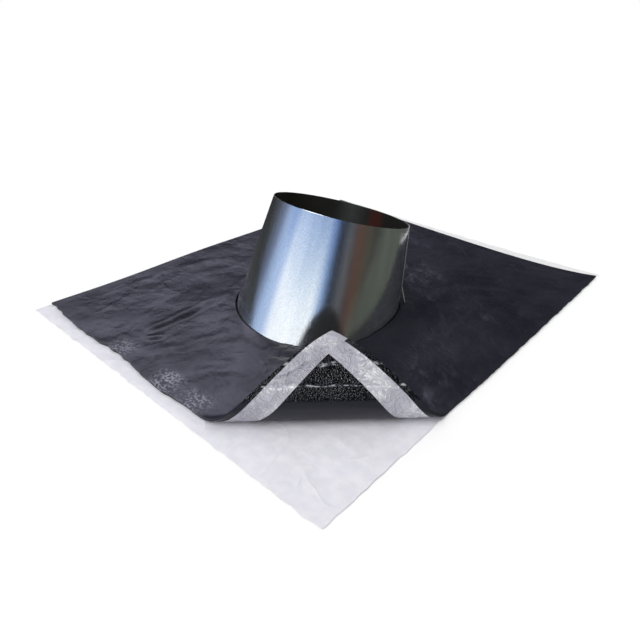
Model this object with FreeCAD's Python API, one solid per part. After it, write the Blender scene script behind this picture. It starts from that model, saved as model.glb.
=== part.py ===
"""Pipe flashing boot: a sheet-metal collar on a soft self-adhesive apron, laid on its release film.

Millimetres. +Z is up off the roof, +Y up the slope, X across it. The origin is the middle of
the release film's underside, which is also the middle of the apron.
"""
import FreeCAD, Part
import math
import os

Vector = FreeCAD.Vector

# ---- driving dimensions -------------------------------------------------------------------

# Release film, the flat sheet that everything lies on.
FILM_THICKNESS = 0.4
FILM_SIDE_OVERHANG = 0.5        # past the apron on each long side
FILM_END_OVERHANG = 12.5        # past the apron at the front and the rear

# Apron: a soft carrier sheet with a layer of butyl bonded all over its underside.
APRON_WIDTH = 445.0
APRON_LENGTH = 562.0
CARRIER_THICKNESS = 1.5
BUTYL_THICKNESS = 0.8

# Edge tapes on the butyl, one along each side.
TAPE_WIDTH = 21.0
TAPE_THICKNESS = 0.5
TAPE_EDGE_MARGIN = 5.5          # bare butyl left outside the tape
TAPE_BUTT_GAP = 0.3             # between a side tape's end and the tape it meets

# Collar: a rolled cone of thin sheet metal that leans up the slope.
METAL_THICKNESS = 0.5
PIPE_DIAMETER = 160.0
PIPE_CLEARANCE = 0.5            # radial, at the rim
COLLAR_LEAN = 16.25             # degrees from +Z towards +Y
COLLAR_FLARE = 8.25             # half-angle of the cone
RIM_HEIGHT = 113.8              # rim's centre above the origin
RIM_SHIFT = -16.0               # rim's centre along Y
FLANGE_WIDTH = 12.0             # out-turned foot under the apron
APRON_HOLE_CLEARANCE = 1.2      # between the apron's hole and the cone
FILM_HOLE_SETBACK = 3.0         # film's hole edge, out from the cone's inner wall

# Lapped seam down the collar, with the lap's lower end sprung outwards.
SEAM_BEARING = 43.0             # degrees about the collar's axis, from +X towards +Y
SEAM_LAP_WIDTH = 14.0
SEAM_TAB_WIDTH = 9.0
SEAM_TAB_LENGTH = 19.0
SEAM_TAB_SPRING = 4.2           # how far its free end stands off the cone
SEAM_TAB_FOOT = 8.0             # its free end above the origin's plane

# Front right corner, rolled back over the apron.
ROLL_BEARING = -44.0            # degrees: the way in which the corner pointed
ROLL_REACH = 117.0              # from the lift-off line to the corner, flat
ROLL_TIGHT_RADIUS = 18.0        # of the bond surface, where the sheet turns over
ROLL_TIGHT_ANGLE = 133.6
ROLL_SLACK_RADIUS = 80.0        # of the flap behind it
ROLL_SKEW = 0.10                # sideways creep for each millimetre rolled
CORNER_BLUNTNESS = 2.0          # length that the worn tip lacks
LEVEL_STRIP = 75.0              # left level along the borders and before the lift-off line
FADE_STRIP = 75.0               # inside it, where the swells die out

# Soft swells of the loose sheet: centre x, centre y, half-widths along x and y, height.
SWELLS = (
    (100.0, -28.0, 46.0, 62.0, 8.0),
    (-104.0, -162.0, 62.0, 50.0, 4.5),
    (-24.0, -188.0, 52.0, 36.0, 4.5),
    (-136.0, 40.0, 50.0, 88.0, 4.0),
    (50.0, 158.0, 84.0, 52.0, 4.0),
    (142.0, 72.0, 44.0, 74.0, 3.5),
)
GRID_STEP = 23.0                # spacing of the control points that shape the sheet
ROLL_SPANS = 8                  # spans of the border curve of each stretch of the roll
TRIM_MARGIN = 1.0               # by which a trimming block stands past the sheet's faces
SHORTEST_STRETCH = 0.5          # a shorter stretch of the roll is left out

# ---- worked out from them -----------------------------------------------------------------

HALF_WIDTH = APRON_WIDTH / 2
HALF_LENGTH = APRON_LENGTH / 2
CORNER = Vector(HALF_WIDTH, -HALF_LENGTH, 0)
UNDERSIDE_Z = FILM_THICKNESS + max(METAL_THICKNESS, TAPE_THICKNESS)
BOND_Z = UNDERSIDE_Z + BUTYL_THICKNESS          # where butyl and carrier meet
CARRIER_TOP_Z = BOND_Z + CARRIER_THICKNESS

THROAT_RADIUS = PIPE_DIAMETER / 2 + PIPE_CLEARANCE
FLARE = math.radians(COLLAR_FLARE)
LEAN = math.radians(COLLAR_LEAN)
RIM_CENTRE = Vector(0, RIM_SHIFT, RIM_HEIGHT)
AXIS_LENGTH = (RIM_HEIGHT + THROAT_RADIUS) / math.cos(LEAN)    # rim to well below the foot
FOOT_TOP_Z = UNDERSIDE_Z
FOOT_BOTTOM_Z = FOOT_TOP_Z - METAL_THICKNESS

ROLL_DIRECTION = Vector(math.cos(math.radians(ROLL_BEARING)), math.sin(math.radians(ROLL_BEARING)), 0)
ROLL_AXIS = Vector(-ROLL_DIRECTION.y, ROLL_DIRECTION.x, 0)
LIFT_OFF = CORNER - ROLL_DIRECTION * ROLL_REACH
TIGHT_ANGLE = math.radians(ROLL_TIGHT_ANGLE)
TIGHT_LENGTH = ROLL_TIGHT_RADIUS * TIGHT_ANGLE
SHEET_SPAN = APRON_WIDTH + APRON_LENGTH         # longer than any line across the sheet
SWELL_ROOM = sum(swell[-1] for swell in SWELLS) # more than any point of the sheet rises


# ---- collar -------------------------------------------------------------------------------

def lean_with_collar(shape):
    """Move a shape from the collar's own frame, rim centre at 0 and axis along Z, into place."""
    shape.rotate(Vector(0, 0, 0), Vector(1, 0, 0), -COLLAR_LEAN)
    shape.translate(RIM_CENTRE)
    return shape


def cone_radius(drop):
    """Inner radius of the collar at a distance below the rim along its axis."""
    return THROAT_RADIUS + drop * math.tan(FLARE)


def cone_solid(growth, rise=0.0):
    """The collar's inner cone grown outwards by growth, from rise above the rim to below the foot."""
    side = growth / math.cos(FLARE)
    bottom = cone_radius(AXIS_LENGTH) + side
    top = cone_radius(-rise) + side
    cone = Part.makeCone(bottom, top, AXIS_LENGTH + rise, Vector(0, 0, -AXIS_LENGTH))
    return lean_with_collar(cone)


def level_slab(bottom, top):
    """A wide level slab between two heights."""
    span = 2 * SHEET_SPAN
    return Part.makeBox(span, span, top - bottom, Vector(-span / 2, -span / 2, bottom))


def all_below(height):
    """A slab from a height down to below the lowest point of any cone."""
    return level_slab(height - 2 * AXIS_LENGTH, height)


def collar_sector(profile, width, bearing):
    """Revolve a profile in the collar's frame through the arc of the given width at a bearing."""
    arc = math.degrees(width / cone_radius(AXIS_LENGTH / 2))
    face = Part.Face(Part.makePolygon(profile + profile[:1]))
    sector = face.revolve(Vector(0, 0, 0), Vector(0, 0, 1), arc)
    sector.rotate(Vector(0, 0, 0), Vector(0, 0, 1), bearing - arc / 2)
    return lean_with_collar(sector)


def seam_lap():
    """The outer lap of the seam, one metal thickness proud of the cone from rim to foot."""
    inner = METAL_THICKNESS / math.cos(FLARE) / 2
    outer = 2 * METAL_THICKNESS / math.cos(FLARE)
    profile = [
        Vector(cone_radius(0) + inner, 0, 0),
        Vector(cone_radius(0) + outer, 0, 0),
        Vector(cone_radius(AXIS_LENGTH) + outer, 0, -AXIS_LENGTH),
        Vector(cone_radius(AXIS_LENGTH) + inner, 0, -AXIS_LENGTH),
    ]
    return collar_sector(profile, SEAM_LAP_WIDTH, SEAM_BEARING)


def seam_tab():
    """The sprung lower end of the lap: a short leaf that leaves the cone downwards."""
    skin = METAL_THICKNESS / math.cos(FLARE)
    bearing = math.radians(SEAM_BEARING)
    # Drop along the axis at which the cone's wall, at the seam, comes down to the tab's foot.
    foot_run = RIM_HEIGHT - SEAM_TAB_FOOT - THROAT_RADIUS * math.sin(bearing) * math.sin(LEAN)
    foot_drop = foot_run / (math.cos(LEAN) + math.tan(FLARE) * math.sin(bearing) * math.sin(LEAN))
    head_drop = foot_drop - SEAM_TAB_LENGTH
    profile = [
        Vector(cone_radius(head_drop) + skin / 2, 0, -head_drop),
        Vector(cone_radius(head_drop) + 2 * skin, 0, -head_drop),
        Vector(cone_radius(foot_drop) + SEAM_TAB_SPRING + skin, 0, -foot_drop),
        Vector(cone_radius(foot_drop) + SEAM_TAB_SPRING, 0, -foot_drop),
    ]
    return collar_sector(profile, SEAM_TAB_WIDTH, SEAM_BEARING)


def collar():
    """Cone, out-turned foot and lapped seam in one piece of sheet metal."""
    bore = cone_solid(0, rise=METAL_THICKNESS)
    wall = cone_solid(METAL_THICKNESS).cut(all_below(FOOT_BOTTOM_Z))
    foot = cone_solid(METAL_THICKNESS + FLANGE_WIDTH).common(level_slab(FOOT_BOTTOM_Z, FOOT_TOP_Z))
    lap = seam_lap().cut(all_below(FOOT_TOP_Z))
    return wall.fuse([foot, lap, seam_tab()]).cut(bore).removeSplitter()


# ---- apron, its butyl and the tapes ---------------------------------------------------------

def closed_solid(faces):
    """Sew faces that meet edge to edge into one solid."""
    shell = Part.Shell(faces)
    shell.sewShape()
    solid = Part.Solid(shell)
    if solid.Volume < 0:
        solid.reverse()
    return solid


def smooth_step(value):
    """0 below 0, 1 above 1, and a smooth rise between."""
    value = min(max(value, 0.0), 1.0)
    return value * value * (3 - 2 * value)


def rolled_distance(x, y):
    """How far a point of the flat sheet lies past the lift-off line, towards the corner."""
    return (Vector(x, y, 0) - LIFT_OFF).dot(ROLL_DIRECTION)


def sheet_rise(x, y):
    """Height of the sheet's swells, dying out before the borders and the lift-off line."""
    room = min(HALF_WIDTH - abs(x), HALF_LENGTH - abs(y), -rolled_distance(x, y))
    fade = smooth_step((room - LEVEL_STRIP) / FADE_STRIP)
    rise = 0.0
    for centre_x, centre_y, half_x, half_y, height in SWELLS:
        away = ((x - centre_x) / half_x) ** 2 + ((y - centre_y) / half_y) ** 2
        rise += height * math.exp(-away)
    return rise * fade


def clamped_knots(half):
    """Knot places for an even clamped cubic across a width, and the places of its poles."""
    spans = max(4, round(2 * half / GRID_STEP))
    inner = [half * (2 * i / spans - 1) for i in range(spans + 1)]
    padded = [-half] * 3 + inner + [half] * 3
    poles = [sum(padded[i + 1:i + 4]) / 3 for i in range(len(padded) - 4)]
    return inner, poles


def sheet_surface(base_z):
    """The whole unrolled sheet at one level of its thickness, with its swells."""
    x_knots, x_poles = clamped_knots(HALF_WIDTH)
    y_knots, y_poles = clamped_knots(HALF_LENGTH)
    surface = Part.BSplineSurface()
    surface.buildFromPolesMultsKnots(
        poles=[[Vector(x, y, base_z + sheet_rise(x, y)) for y in y_poles] for x in x_poles],
        umults=[4] + [1] * (len(x_knots) - 2) + [4], vmults=[4] + [1] * (len(y_knots) - 2) + [4],
        uknots=x_knots, vknots=y_knots, udegree=3, vdegree=3,
    )
    return surface


def border_curves(surface):
    """The four border curves of a sheet surface."""
    u_first, u_last, v_first, v_last = surface.bounds()
    return [
        surface.uIso(u_first),
        surface.uIso(u_last),
        surface.vIso(v_first),
        surface.vIso(v_last),
    ]


def unrolled_layer(bottom_z, top_z):
    """A layer of the sheet between two levels, before its corner is rolled back."""
    lower = sheet_surface(bottom_z)
    upper = sheet_surface(top_z)
    faces = [lower.toShape(), upper.toShape()]
    for low, high in zip(border_curves(lower), border_curves(upper)):
        faces.append(Part.makeRuledSurface(low.toShape(), high.toShape()))
    return closed_solid(faces)


def corner_prism():
    """Everything past the lift-off line."""
    prism = Part.makeBox(SHEET_SPAN, 2 * SHEET_SPAN, SHEET_SPAN, Vector(0, -SHEET_SPAN, -SHEET_SPAN / 2))
    prism.rotate(Vector(0, 0, 0), Vector(0, 0, 1), ROLL_BEARING)
    prism.translate(LIFT_OFF)
    return prism


def roll_profile(run):
    """Across, up and tilt of the bond surface after running run past the lift-off line."""
    tight = min(run, TIGHT_LENGTH)
    tilt = tight / ROLL_TIGHT_RADIUS
    across = ROLL_TIGHT_RADIUS * math.sin(tilt)
    up = ROLL_TIGHT_RADIUS * (1 - math.cos(tilt))
    slack = max(run - TIGHT_LENGTH, 0.0)
    final = tilt + slack / ROLL_SLACK_RADIUS
    across += ROLL_SLACK_RADIUS * (math.sin(final) - math.sin(tilt))
    up -= ROLL_SLACK_RADIUS * (math.cos(final) - math.cos(tilt))
    return across, up, final


def rolled_point(run, along, level):
    """A point of the rolled sheet: run past the lift-off line, along it, at a level of the thickness."""
    across, up, tilt = roll_profile(run)
    offset = level - BOND_Z
    across -= offset * math.sin(tilt)
    up += offset * math.cos(tilt)
    flat = LIFT_OFF + ROLL_DIRECTION * across + ROLL_AXIS * (along + ROLL_SKEW * run)
    return Vector(flat.x, flat.y, BOND_Z + up)


def along_at_x(run, x):
    """Place along the lift-off direction where the line at this run crosses a given x."""
    start = LIFT_OFF + ROLL_DIRECTION * run
    return (x - start.x) / ROLL_AXIS.x


def along_at_y(run, y):
    """Place along the lift-off direction where the line at this run crosses a given y."""
    start = LIFT_OFF + ROLL_DIRECTION * run
    return (y - start.y) / ROLL_AXIS.y


def border_curve(run_from, run_to, along_at, level):
    """The curve that one border of the roll follows at a level of the thickness."""
    runs = [run_from + (run_to - run_from) * i / ROLL_SPANS for i in range(ROLL_SPANS + 1)]
    curve = Part.BSplineCurve()
    curve.interpolate(Points=[rolled_point(run, along_at(run), level) for run in runs], Parameters=runs)
    return curve


def ruled_face(first, last):
    """The face ruled between two border curves that share their parameters."""
    surface = Part.BSplineSurface()
    surface.buildFromPolesMultsKnots(
        poles=[first.getPoles(), last.getPoles()],
        umults=(2, 2), vmults=first.getMultiplicities(),
        uknots=(0.0, 1.0), vknots=first.getKnots(),
        udegree=1, vdegree=first.Degree,
    )
    return surface.toShape()


def end_face(run, first, last, bottom_z, top_z):
    """The flat cross-section of the roll along one of its straight lines."""
    points = [
        rolled_point(run, first, bottom_z),
        rolled_point(run, last, bottom_z),
        rolled_point(run, last, top_z),
        rolled_point(run, first, top_z),
    ]
    return Part.Face(Part.makePolygon(points + points[:1]))


def curled_slab(run_from, run_to, bottom_z, top_z):
    """A wide slab of the sheet curled about one axis, tight up to TIGHT_LENGTH and slack past it."""
    radius = ROLL_TIGHT_RADIUS if run_to <= TIGHT_LENGTH else ROLL_SLACK_RADIUS
    axis_point = rolled_point(run_from, 0, BOND_Z + radius)
    turn = math.degrees((run_to - run_from) / radius)
    return end_face(run_from, -SHEET_SPAN, SHEET_SPAN, bottom_z, top_z).revolve(axis_point, -ROLL_AXIS, turn)


def outline_block(run_from, run_to, first_at, last_at, bottom_z, top_z):
    """The block between the two borders of a stretch, which are given as functions of the run."""
    first_low = border_curve(run_from, run_to, first_at, bottom_z)
    last_low = border_curve(run_from, run_to, last_at, bottom_z)
    first_high = border_curve(run_from, run_to, first_at, top_z)
    last_high = border_curve(run_from, run_to, last_at, top_z)
    return closed_solid([
        ruled_face(first_low, last_low),
        ruled_face(first_high, last_high),
        ruled_face(first_low, first_high),
        ruled_face(last_low, last_high),
        end_face(run_from, first_at(run_from), last_at(run_from), bottom_z, top_z),
        end_face(run_to, first_at(run_to), last_at(run_to), bottom_z, top_z),
    ])


def rolled_stretch(run_from, run_to, first_at, last_at, bottom_z, top_z):
    """A stretch of the roll: the curled slab trimmed to its two borders."""
    block = outline_block(run_from, run_to, first_at, last_at, bottom_z - TRIM_MARGIN, top_z + TRIM_MARGIN)
    return curled_slab(run_from, run_to, bottom_z, top_z).common(block)


def rolled_region(x_from, x_to, y_from, y_to, bottom_z, top_z):
    """The part of a rectangle of the sheet that lies in the rolled corner, one solid per stretch."""
    corners = [rolled_distance(x, y) for x in (x_from, x_to) for y in (y_from, y_to)]
    end = rolled_distance(x_to, y_from) - CORNER_BLUNTNESS
    breaks = sorted({0.0, TIGHT_LENGTH, end} | {c for c in corners if 0 < c < end})
    breaks = [b for b in breaks if b <= end]

    def first_at(run):
        return max(along_at_y(run, y_from), along_at_x(run, x_from))

    def last_at(run):
        return min(along_at_x(run, x_to), along_at_y(run, y_to))

    stretches = []
    for run_from, run_to in zip(breaks, breaks[1:]):
        middle = (run_from + run_to) / 2
        if run_to - run_from > SHORTEST_STRETCH and last_at(middle) > first_at(middle):
            stretches.append(rolled_stretch(run_from, run_to, first_at, last_at, bottom_z, top_z))
    return stretches


def sheet_region(x_from, x_to, y_from, y_to, bottom_z, top_z):
    """A rectangle of one layer of the sheet, flat and rolled parts joined."""
    layer = unrolled_layer(bottom_z, top_z)
    height = top_z - bottom_z + SWELL_ROOM + TRIM_MARGIN
    frame = Part.makeBox(x_to - x_from, y_to - y_from, height, Vector(x_from, y_from, bottom_z - TRIM_MARGIN))
    whole = x_to - x_from >= APRON_WIDTH and y_to - y_from >= APRON_LENGTH
    flat = layer.cut(corner_prism()) if whole else layer.common(frame).cut(corner_prism())
    rolled = rolled_region(x_from, x_to, y_from, y_to, bottom_z, top_z)
    return flat.fuse(rolled) if rolled else flat


def apron_hole():
    """The cone that the apron's hole is cut to."""
    return cone_solid(METAL_THICKNESS + APRON_HOLE_CLEARANCE)


def apron():
    """Carrier sheet with its hole and its corner rolled back."""
    sheet = sheet_region(-HALF_WIDTH, HALF_WIDTH, -HALF_LENGTH, HALF_LENGTH, BOND_Z, CARRIER_TOP_Z)
    return sheet.cut(apron_hole())


def butyl_backing():
    """Butyl bonded under the whole carrier."""
    sheet = sheet_region(-HALF_WIDTH, HALF_WIDTH, -HALF_LENGTH, HALF_LENGTH, UNDERSIDE_Z, BOND_Z)
    return sheet.cut(apron_hole())


def edge_tapes():
    """The four tapes: front and rear run the full width, the side ones stop at them."""
    top = UNDERSIDE_Z
    bottom = UNDERSIDE_Z - TAPE_THICKNESS
    outer_x = HALF_WIDTH - TAPE_EDGE_MARGIN
    outer_y = HALF_LENGTH - TAPE_EDGE_MARGIN
    inner_x = outer_x - TAPE_WIDTH
    inner_y = outer_y - TAPE_WIDTH
    side_end = inner_y - TAPE_BUTT_GAP
    return {
        "front_tape": sheet_region(-outer_x, outer_x, -outer_y, -inner_y, bottom, top),
        "rear_tape": sheet_region(-outer_x, outer_x, inner_y, outer_y, bottom, top),
        "right_tape": sheet_region(inner_x, outer_x, -side_end, side_end, bottom, top),
        "left_tape": sheet_region(-outer_x, -inner_x, -side_end, side_end, bottom, top),
    }


# ---- release film ---------------------------------------------------------------------------

def release_film():
    """Plain film under everything, holed so that the pipe can pass."""
    width = APRON_WIDTH + 2 * FILM_SIDE_OVERHANG
    length = APRON_LENGTH + 2 * FILM_END_OVERHANG
    film = Part.makeBox(width, length, FILM_THICKNESS, Vector(-width / 2, -length / 2, 0))
    return film.cut(cone_solid(FILM_HOLE_SETBACK))


def main():
    """Write one STEP file for each piece."""
    os.makedirs("parts", exist_ok=True)
    pieces = {
        "collar": collar(),
        "apron": apron(),
        "butyl_backing": butyl_backing(),
        "release_film": release_film(),
    }
    pieces.update(edge_tapes())
    for name, shape in pieces.items():
        shape.exportStep("parts/" + name + ".step")
        print(name, len(shape.Solids), "solid", round(shape.Volume), "mm3, valid", shape.isValid())


main()
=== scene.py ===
"""Looks of a pipe flashing boot: a zinc collar on a taped butyl apron, with one corner rolled back.

Sizes are in millimetres and become metres where a mesh is written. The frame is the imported
model's: +Z up off the roof, +Y up the slope, and the origin in the middle of the film's underside.
"""

import logging
import math
from abc import ABC, abstractmethod
from contextlib import contextmanager
from dataclasses import dataclass, field
from enum import Enum
from typing import Callable, Iterator

import bpy
import numpy as np
from mathutils import Euler, Matrix, Vector, noise


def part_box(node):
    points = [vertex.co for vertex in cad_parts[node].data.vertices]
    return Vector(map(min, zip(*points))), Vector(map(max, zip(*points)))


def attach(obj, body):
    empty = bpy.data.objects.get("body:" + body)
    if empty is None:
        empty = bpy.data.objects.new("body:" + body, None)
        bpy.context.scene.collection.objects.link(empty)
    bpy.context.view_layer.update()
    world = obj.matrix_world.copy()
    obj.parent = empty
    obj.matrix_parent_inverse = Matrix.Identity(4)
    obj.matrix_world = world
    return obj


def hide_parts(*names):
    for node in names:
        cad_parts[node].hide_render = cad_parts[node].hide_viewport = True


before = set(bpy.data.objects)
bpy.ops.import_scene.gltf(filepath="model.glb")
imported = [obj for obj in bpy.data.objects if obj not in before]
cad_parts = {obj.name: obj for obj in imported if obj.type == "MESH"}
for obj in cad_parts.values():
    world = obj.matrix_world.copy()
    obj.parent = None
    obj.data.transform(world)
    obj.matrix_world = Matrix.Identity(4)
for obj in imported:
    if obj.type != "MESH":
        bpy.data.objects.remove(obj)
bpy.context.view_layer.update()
LOG = logging.getLogger("flashing_boot")
MM = 0.001
ROOT = "root"
SMOOTH_ANGLE = math.radians(40)
Piece = bpy.types.Object
Material = bpy.types.Material
Socket = bpy.types.NodeSocket
Sockets = bpy.types.bpy_prop_collection
Places = np.ndarray


class Slot(Enum):
    """The record's material slots."""

    SHEET_METAL = "sheet_metal"
    CARRIER = "carrier"
    BUTYL = "butyl"
    TAPE = "tape"
    FILM = "film"


class Side(Enum):
    """The sides of the apron that carry a tape."""

    FRONT = "front_tape"
    REAR = "rear_tape"
    RIGHT = "right_tape"
    LEFT = "left_tape"


def tone(red: int, green: int, blue: int) -> tuple[float, float, float, float]:
    """A colour as it looks on a screen, 0 to 255, in the linear numbers that a shader takes.

    Args:
        red: Red, 0 to 255.
        green: Green, 0 to 255.
        blue: Blue, 0 to 255.

    Returns:
        The linear colour with full alpha.
    """
    shares = [channel / 255 for channel in (red, green, blue)]
    linear = [s / 12.92 if s <= 0.04045 else ((s + 0.055) / 1.055) ** 2.4 for s in shares]
    return linear[0], linear[1], linear[2], 1.0


def ease(value: Places, start: float = 0.0, end: float = 1.0) -> Places:
    """0 up to the start, 1 from the end on, and a smooth change between."""
    share = np.clip((value - start) / (end - start), 0.0, 1.0)
    return share * share * (3 - 2 * share)


@dataclass(frozen=True)
class Ripples:
    """Smooth noise over a flat sheet: its height, the distance it changes over, and which noise it is."""

    height: float
    size: float
    layer: float

    def rise(self, x: Places, y: Places) -> Places:
        """Its height at each place, above or below 0."""
        places = (Vector((u / self.size, v / self.size, self.layer)) for u, v in zip(x, y))
        return self.height * np.array([noise.noise(place) for place in places])


@dataclass(frozen=True)
class Wave:
    """An even wave along an edge: its height, its length for each radian and where it starts."""

    height: float
    size: float
    start: float = 0.0

    def rise(self, along: Places) -> Places:
        """Its height at each place along the edge."""
        return self.height * np.sin((along - self.start) / self.size)


@dataclass(frozen=True)
class Ellipse:
    """A level ellipse with its middle over the Y axis."""

    middle: float | Places
    half_x: float | Places
    half_y: float | Places

    def share(self, x: Places, y: Places) -> Places:
        """How far out places lie, 1 on the ellipse."""
        return np.hypot(x / self.half_x, (y - self.middle) / self.half_y)

    def pull(self, x: Places, y: Places) -> tuple[Places, Places]:
        """Places moved onto the ellipse, straight to or from its middle."""
        share = self.share(x, y)
        return x / share, self.middle + (y - self.middle) / share


# ---- modelling helpers --------------------------------------------------------------------


def select_alone(piece: Piece) -> None:
    """Make a piece the only selected object and the active one.

    Args:
        piece: The piece.
    """
    bpy.ops.object.select_all(action="DESELECT")
    piece.select_set(True)
    bpy.context.view_layer.objects.active = piece


@contextmanager
def editing(piece: Piece, mode: str = "EDGE") -> Iterator[None]:
    """Edit a piece in a with block, which starts with nothing selected.

    Args:
        piece: The piece.
        mode: What can be selected: VERT, EDGE or FACE.

    Yields:
        Nothing.
    """
    select_alone(piece)
    bpy.ops.object.mode_set(mode="EDIT")
    bpy.ops.mesh.select_mode(type=mode)
    bpy.ops.mesh.select_all(action="DESELECT")
    yield
    bpy.ops.object.mode_set(mode="OBJECT")


def cut_level(height: float, clear: bool = True) -> None:
    """Cut the selected faces level at a height, and clear them away below it if asked."""
    bpy.ops.mesh.bisect(plane_co=(0.0, 0.0, height * MM), plane_no=(0.0, 0.0, 1.0), clear_inner=clear)


def pick_faces(piece: Piece, wanted: Callable[[Vector], bool]) -> None:
    """Select the faces whose middle is wanted, in edit mode with FACE selection.

    Args:
        piece: The piece in edit mode.
        wanted: Says of a face's middle, in metres, whether the face is picked.
    """
    bpy.ops.object.mode_set(mode="OBJECT")
    for face in piece.data.polygons:
        face.select = wanted(face.center)
    bpy.ops.object.mode_set(mode="EDIT")


def pick_edges(piece: Piece, wanted: Callable[[int, int], bool]) -> None:
    """Select the edges whose two ends are wanted, in edit mode with EDGE selection.

    Args:
        piece: The piece in edit mode.
        wanted: Says of an edge's two corners, by index, whether the edge is picked.
    """
    bpy.ops.mesh.select_all(action="DESELECT")
    bpy.ops.object.mode_set(mode="OBJECT")
    for edge in piece.data.edges:
        if wanted(*edge.vertices):
            edge.select = True
            for end in edge.vertices:
                piece.data.vertices[end].select = True
    bpy.ops.object.mode_set(mode="EDIT")


def apply_modifier(piece: Piece, kind: str, **settings: object) -> None:
    """Put a modifier on a piece and apply it at once.

    Args:
        piece: The piece.
        kind: The modifier's type.
        **settings: The modifier's own settings.
    """
    select_alone(piece)
    modifier = piece.modifiers.new(kind.title(), kind)
    for name, value in settings.items():
        setattr(modifier, name, value)
    bpy.ops.object.modifier_apply(modifier=modifier.name)


def corners(piece: Piece) -> Places:
    """Read the corners of a piece's mesh.

    Args:
        piece: The piece.

    Returns:
        The corners in millimetres, one row each.
    """
    flat = np.zeros(len(piece.data.vertices) * 3, np.float32)
    piece.data.vertices.foreach_get("co", flat)
    return flat.reshape(-1, 3).astype(float) / MM


def put_corners(piece: Piece, places: Places) -> None:
    """Write the corners of a piece's mesh, given in millimetres."""
    piece.data.vertices.foreach_set("co", (places * MM).astype(np.float32).ravel())
    piece.data.update()


def hand_over(piece: Piece, slot: Slot, *nodes: str) -> None:
    """Let a finished piece ride on the body and stand for its nodes.

    Args:
        piece: The piece.
        slot: The record's material slot for the piece; not used.
        *nodes: The nodes that it replaces.
    """
    select_alone(piece)
    bpy.ops.object.shade_smooth_by_angle(angle=SMOOTH_ANGLE)
    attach(piece, ROOT)
    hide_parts(*nodes)
    LOG.info("%s: %d faces, stands for %s", piece.name, len(piece.data.polygons), ", ".join(nodes))


# ---- shader helpers -----------------------------------------------------------------------


class Graph:
    """Places and wires the nodes of one node tree."""

    def __init__(self, tree: bpy.types.NodeTree) -> None:
        """Start on an empty tree."""
        self.tree = tree
        tree.nodes.clear()

    def add(self, kind: str, feeds: dict | None = None, **settings: object) -> bpy.types.Node:
        """Add a node.

        Args:
            kind: The node's type.
            feeds: For each input, by name or number, a socket to wire or a value to set.
            **settings: The node's own settings, which are made first.

        Returns:
            The node.
        """
        node = self.tree.nodes.new(kind)
        for name, value in settings.items():
            setattr(node, name, value)
        for key, value in (feeds or {}).items():
            if isinstance(value, Socket):
                self.tree.links.new(value, node.inputs[key])
            else:
                node.inputs[key].default_value = value
        return node

    def calc(self, operation: str, *values: object) -> Socket:
        """A Math node's result on sockets or numbers."""
        return self.add("ShaderNodeMath", dict(enumerate(values)), operation=operation).outputs[0]

    def times(self, first: object, second: object) -> Socket:
        """The product of two sockets or numbers."""
        return self.calc("MULTIPLY", first, second)

    def plus(self, first: object, second: object) -> Socket:
        """The sum of two sockets or numbers."""
        return self.calc("ADD", first, second)

    def off(self, value: object, middle: object) -> Socket:
        """How far a value lies from a middle, either way."""
        return self.calc("ABSOLUTE", self.calc("SUBTRACT", value, middle))

    def vector(self, operation: str, *values: object) -> Socket:
        """A Vector Math node's result on sockets."""
        return self.add("ShaderNodeVectorMath", dict(enumerate(values)), operation=operation).outputs[0]

    def join(self, *parts: object) -> Socket:
        """A vector of up to three parts, 0 where one is left out."""
        return self.add("ShaderNodeCombineXYZ", dict(enumerate(parts))).outputs[0]

    def split(self, vector: Socket) -> Sockets:
        """The three parts of a vector."""
        return self.add("ShaderNodeSeparateXYZ", {0: vector}).outputs

    def noise(self, place: Socket, scale: object, detail: float = 2.0, distortion: float = 0.0) -> Socket:
        """Smooth noise, about 0 to 1."""
        feeds = {"Vector": place, "Scale": scale, "Detail": detail, "Distortion": distortion}
        return self.add("ShaderNodeTexNoise", feeds).outputs[0]

    def stretch(
        self, value: object, low: object, high: object, to_low: float = 0.0, to_high: float = 1.0
    ) -> Socket:
        """Carry a value from one range to another, smoothly and without overshoot."""
        feeds = {0: value, 1: low, 2: high, 3: to_low, 4: to_high}
        return self.add("ShaderNodeMapRange", feeds, interpolation_type="SMOOTHSTEP").outputs[0]

    def blend(self, factor: object, first: object, second: object, how: str = "MIX") -> Socket:
        """Mix two colours."""
        feeds = {0: factor, 6: first, 7: second}
        return self.add("ShaderNodeMix", feeds, data_type="RGBA", blend_type=how).outputs[2]

    def ramp(self, value: object, stops: list[tuple[float, tuple]]) -> Socket:
        """A colour picked by a value from 0 to 1.

        Args:
            value: The socket or number.
            stops: Places on the ramp with their colours, lowest first.

        Returns:
            The colour.
        """
        node = self.add("ShaderNodeValToRGB", {0: value})
        elements = node.color_ramp.elements
        elements.remove(elements[-1])
        elements[0].position, elements[0].color = stops[0]
        for at, colour in stops[1:]:
            elements.new(at).color = colour
        return node.outputs[0]

    def shared(self, group: bpy.types.NodeTree, *values: object) -> Socket:
        """A shared effect's output, with its inputs in order."""
        return self.add("ShaderNodeGroup", dict(enumerate(values)), node_tree=group).outputs[0]

    def bump(self, height: Socket, strength: float, distance: float) -> Socket:
        """A normal that follows a height."""
        feeds = {"Strength": strength, "Distance": distance, "Height": height}
        return self.add("ShaderNodeBump", feeds).outputs[0]

    def glow(self, kind: str, colour: object, strength: object) -> Socket:
        """An Emission or Background shader."""
        return self.add("ShaderNode" + kind, {"Color": colour, "Strength": strength}).outputs[0]

    def choose(self, factor: Socket, first: Socket, second: Socket) -> Socket:
        """One of two shaders, by a factor."""
        return self.add("ShaderNodeMixShader", {0: factor, 1: first, 2: second}).outputs[0]

    def place(self) -> Socket:
        """The place on the object that patterns follow."""
        return self.add("ShaderNodeTexCoord").outputs["Object"]


def new_material(name: str) -> tuple[Material, Graph]:
    """Make an empty material.

    Args:
        name: Its name.

    Returns:
        The material and its graph.
    """
    made = bpy.data.materials.new(name)
    made.use_nodes = True
    return made, Graph(made.node_tree)


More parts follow.
